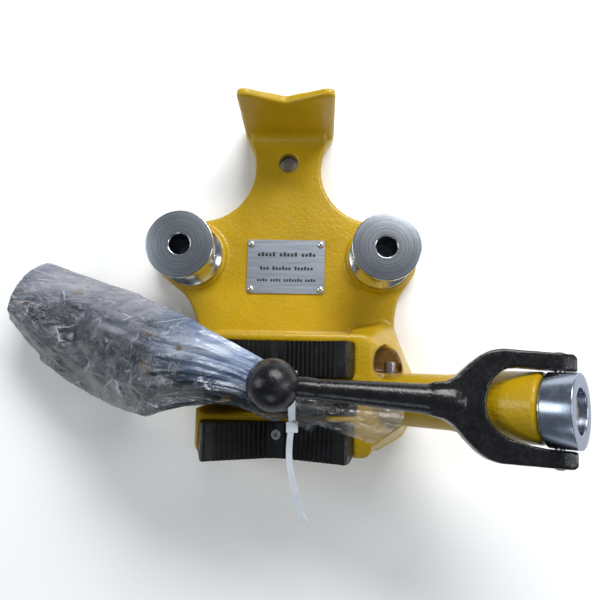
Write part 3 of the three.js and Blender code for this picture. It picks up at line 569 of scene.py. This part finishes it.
for sx, wx in ((-1, "left"), (1, "right")):
    for sy, wy in ((-1, "front"), (1, "rear")):
        base = RIVET_SEAT
        head = lathe("rivet_dome_%s_%s" % (wy, wx),
                     [(0, base - 5), (1.25, base - 5), (1.25, base), (3.0, base),
                      (2.996, base + 0.257), (2.85, base + 0.6), (2.45, base + 1.1),
                      (1.8, base + 1.55), (0.9, base + 1.85), (0, base + 1.95)],
                     (sx * RIVET_X, PLATE_Y + sy * RIVET_Y, 0), (0, 0, 1), RIVET, segs=40)
        stands_for(head, "rivet_%s_%s" % (wy, wx), "casting")

# ---- generic marks on the nameplate: groups of plain dark blocks, no letters ----------------
INK_FOOT, INK_TOP = 15.3, 15.34
INK = Mat("plate_ink", (0.02, 0.022, 0.028), 0.5)
INK.rough(INK.value(INK.noise(300, 2), 0.4, 0.6))


def mark_row(y, words, tall, wide):
    """Plain upright blocks in word-like groups, about the plate's middle."""
    verts, faces = [], []
    step = wide * 1.4
    x = -0.5 * (sum(words) * step + (len(words) - 1) * step * 0.9) + 1.0
    for w in words:
        for k in range(w):
            n = len(verts)
            top = tall * (1.0 if (k * 7 + w) % 3 == 0 else 0.76)
            for z in (INK_FOOT, INK_TOP):
                for dx, dy in ((0, 0), (wide, 0), (wide, top), (0, top)):
                    verts.append(((x + dx) * MM, (y + dy) * MM, z * MM))
            faces += [(n + 4, n + 5, n + 6, n + 7), (n, n + 3, n + 2, n + 1)]
            faces += [(n + q, n + (q + 1) % 4, n + 4 + (q + 1) % 4, n + 4 + q) for q in range(4)]
            x += step
        x += step * 0.9
    return verts, faces


marks_v, marks_f = [], []
for row in ((122.6, (5, 5, 4), 3.8, 2.38), (110.3, (3, 6, 6), 3.3, 2.04), (99.9, (4, 4, 7, 4), 2.7, 1.74)):
    v, f = mark_row(*row)
    marks_f += [tuple(i + len(marks_v) for i in face) for face in f]
    marks_v += v
marks = piece("nameplate_marks", marks_v, marks_f, INK, smooth=0)
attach(marks, "casting")

# ---- crumpled film bag ----------------------------------------------------------------------
def ease(a, b, x):
    """0 before a, 1 beyond b, a smooth step between them."""
    t = max(0.0, min(1.0, (x - a) / (b - a)))
    return t * t * (3 - 2 * t)


# The bag in plan, in mm: an almost straight rear edge and a front edge with a belly.
TIE_X, TIE_REAR_Y = 9.6, 18.4
FAR_REAR, FAR_FRONT = (-207, 112), (-236, 56)
BELLY = (-92, -14.5)  # the foremost point of the front edge
REAR_BOW = 8
FRONT_WAVE, WAVE_LENGTH, FRONT_DIP = 12.2, 108, 6  # front edge between the belly and the tie
# height of the bag's middle where it lies, at its crest and at the tie
FLOOR_Z, CREST_Z, NECK_Z = 25, 123, 104


def bag_station(t):
    """Rear x, y; front x, y; middle z; rise; drop. t runs from 0 at the far end to 1 at the tie."""
    back = (1 - t) ** 1.35
    rx = TIE_X - (TIE_X - FAR_REAR[0]) * back
    gx = TIE_X - (TIE_X - FAR_FRONT[0]) * back
    f = (TIE_X - rx) / (TIE_X - FAR_REAR[0])
    ry = TIE_REAR_Y + (FAR_REAR[1] - TIE_REAR_Y) * f + REAR_BOW * math.sin(math.pi * f)
    if gx < BELLY[0]:
        gy = BELLY[1] + (FAR_FRONT[1] - BELLY[1]) * ((BELLY[0] - gx) / (BELLY[0] - FAR_FRONT[0])) ** 2.3
    else:
        gy = BELLY[1] + FRONT_WAVE * math.sin(math.pi * (gx - BELLY[0]) / WAVE_LENGTH)
        gy += FRONT_DIP * (ease(0, TIE_X, gx) - ease(-30, 0, gx))
    cz = FLOOR_Z + (CREST_Z - FLOOR_Z) * ease(0.16, 0.64, t) - (CREST_Z - NECK_Z) * ease(0.6, 1, t)
    rise = 33 + 18 * ease(0, 0.23, t) - 36 * ease(0.28, 0.66, t)
    drop = min(cz - 2, 46) - 33 * ease(0.42, 0.6, t) + 3 * ease(0.8, 1, t)
    return rx, ry, gx, gy, cz, rise, drop


def crease(p):
    """Sharp-edged crumple height, -0.5 to 0.5: facets that meet along creases."""
    near = noise.voronoi(p)[0]
    return min(near[1] - near[0], 0.7) * 1.4 - 0.5


LONG_CREASES = 7  # ridges that fan out from the neck over the upper film
CREASE_WIDTH = 0.12  # half width, as a share of the bag's half width


def taut(u, c):
    """1 on a long crease, falling to 0 beside it; u runs along the bag and c across it, -1 to 1."""
    best = 1.0
    for k in range(LONG_CREASES):
        start = 0.10 + 0.09 * (k * 3 % 5)
        if u > start:
            at_neck = -0.78 + 0.26 * k
            far = 1.12 * at_neck + 0.20 * math.sin(2.4 * k)
            lie = far + (at_neck - far) * (u - start) / (1 - start)
            best = min(best, abs(c - lie) / CREASE_WIDTH)
    return 1 - best


def chain_tree():
    verts, faces = [], []
    for name, ob in NODES.items():
        if name.startswith("chain_link"):
            n = len(verts)
            verts += [ob.matrix_world @ v.co for v in ob.data.vertices]
            faces += [tuple(i + n for i in f.vertices) for f in ob.data.polygons]
    return BVHTree.FromPolygons(verts, faces)


CHAIN_TREE = chain_tree()
CHAIN_GAP, CHAIN_REACH, LIFT_STEP, LIFTS = 0.0009, 0.012, 0.0008, 10
FAR_TIP = Vector((-0.2345, 0.0960, 0.021))


def sack_point(u, v):
    """A point of the film in metres: u along the bag from its far end, v round it."""
    rx, ry, gx, gy, cz, rise, drop = bag_station(u)
    side = Vector((rx - gx, ry - gy, 0))
    half = side.length / 2
    side.normalize()
    a = 2 * math.pi * v
    c, s = math.cos(a), math.sin(a)
    pinch = ease(17, 34, half)
    e = 2 + 0.25 * pinch
    sq = 1 / (abs(c) ** e + abs(s) ** e) ** (1 / e)
    p = Vector(((rx + gx) / 2, (ry + gy) / 2, cz + (rise if s > 0 else drop) * s * sq))
    p += side * (half * c * sq)
    out = (side * c + Vector((0, 0, s))).normalized()
    gather = ease(0.30, 0.9, u)
    # long gathers that run into the neck
    ripple = abs(noise.noise(Vector((c * 4.6, s * 4.6, u * 2.0)))) * 2 - 0.3
    ripple2 = abs(noise.noise(Vector((c * 9 + 9, s * 9, u * 3.0)))) * 2 - 0.3
    fold = -(4.6 * ripple + 2.4 * ripple2) * (0.15 + 0.85 * gather) * (0.4 + 0.6 * pinch)
    # broad creased facets in the body, drawn out along the bag
    q = Vector((p.x * 0.55, p.y, p.z)) * 0.022
    rough = 5.2 * crease(q + Vector((3.1, 0, 0))) + 2.0 * crease(q * 2.3) + 0.8 * crease(q * 4.7)
    body = pinch * (1 - 0.45 * gather) * (1 - 0.6 * abs(c) ** 3)
    ridge = taut(u, c + 0.05 * noise.noise(p * 0.05)) if s > 0.2 else 0
    p = (p + out * (fold + (rough * 0.8 - 1.6) * body + 2.6 * ridge)) * MM
    for _ in range(LIFTS):  # the film lies on the chain, not in it
        near, normal, _i, dist = CHAIN_TREE.find_nearest(p, CHAIN_REACH)
        if near is None or ((p - near).dot(normal) > 0 and dist > CHAIN_GAP):
            break
        p = p + out * LIFT_STEP
    return p


def sack_mesh(nu, nv):
    verts, faces = [], []
    for i in range(nu + 1):
        t = i / nu
        for j in range(nv):
            verts.append(sack_point(t, j / nv))
    tip = len(verts)
    verts.append(FAR_TIP)
    for j in range(nv):
        n = (j + 1) % nv
        faces.append((tip, n, j))
        for i in range(nu):
            faces.append((i * nv + j, i * nv + n, (i + 1) * nv + n, (i + 1) * nv + j))
    return verts, faces


def fan_mesh(root, rim, nu, nv, lift, seed):
    """A flap gathered along root and open along rim, both lists of mm points, with creases."""
    def along(points, t):
        f = t * (len(points) - 1)
        i = min(int(f), len(points) - 2)
        return Vector(points[i]).lerp(Vector(points[i + 1]), f - i)
    verts, faces = [], []
    for i in range(nu + 1):
        t = i / nu
        for j in range(nv + 1):
            v = j / nv
            p = along(root, v).lerp(along(rim, v), t)
            q = p * 0.06 + Vector((seed, seed * 2.3, 0))
            radial = abs(noise.noise(Vector((v * 9 + seed, t * 1.2, 0.3)))) * 2 - 0.4
            p.z += lift * math.sin(math.pi * t) + 3.0 * radial * (0.4 + 0.6 * t)
            p.z += t * (2.6 * crease(q) + 1.1 * crease(q * 2.7))
            p += Vector((1.0, 0.5, 0)) * (t * 1.2 * crease(q * 1.7 + Vector((5, 0, 0))))
            verts.append(p * MM)
    for i in range(nu):
        for j in range(nv):
            a = i * (nv + 1) + j
            faces.append((a, a + 1, a + nv + 2, a + nv + 1))
    return verts, faces


def joined(parts):
    verts, faces = [], []
    for v, f in parts:
        faces += [tuple(i + len(verts) for i in face) for face in f]
        verts += v
    return verts, faces


dense = 1
parts = [sack_mesh(int(250 * dense), int(220 * dense))]
# the mouth of the bag beyond the tie: a short folded frill and a wide thin flap
parts.append(fan_mesh([(9, 13, 117), (9, -2, 120), (9, -12, 109), (9, -10, 98), (9, 2, 90.5), (9, 14, 96)],
                      [(31, 12, 121), (38, -3, 121), (27, -21, 113), (18, -16, 96), (17, 1, 90),
                       (24, 12, 95)],
                      int(40 * dense), int(110 * dense), 1.0, 1.7))
parts.append(fan_mesh([(9, 8, 119), (9, 1, 120.5), (9, -9, 116), (9, -11.5, 110)],
                      [(86, 5, 108), (93, -3, 108), (89.5, -15, 106), (70, -29, 103), (61, -25, 103),
                       (51, -14.5, 108)],
                      int(80 * dense), int(90 * dense), 3.0, 4.2))
FILM = LOOK["packing_bag"]
bag = piece("packing_bag_film", *joined(parts), FILM, smooth=24)
stands_for(bag, "packing_bag", "screw_and_chain")
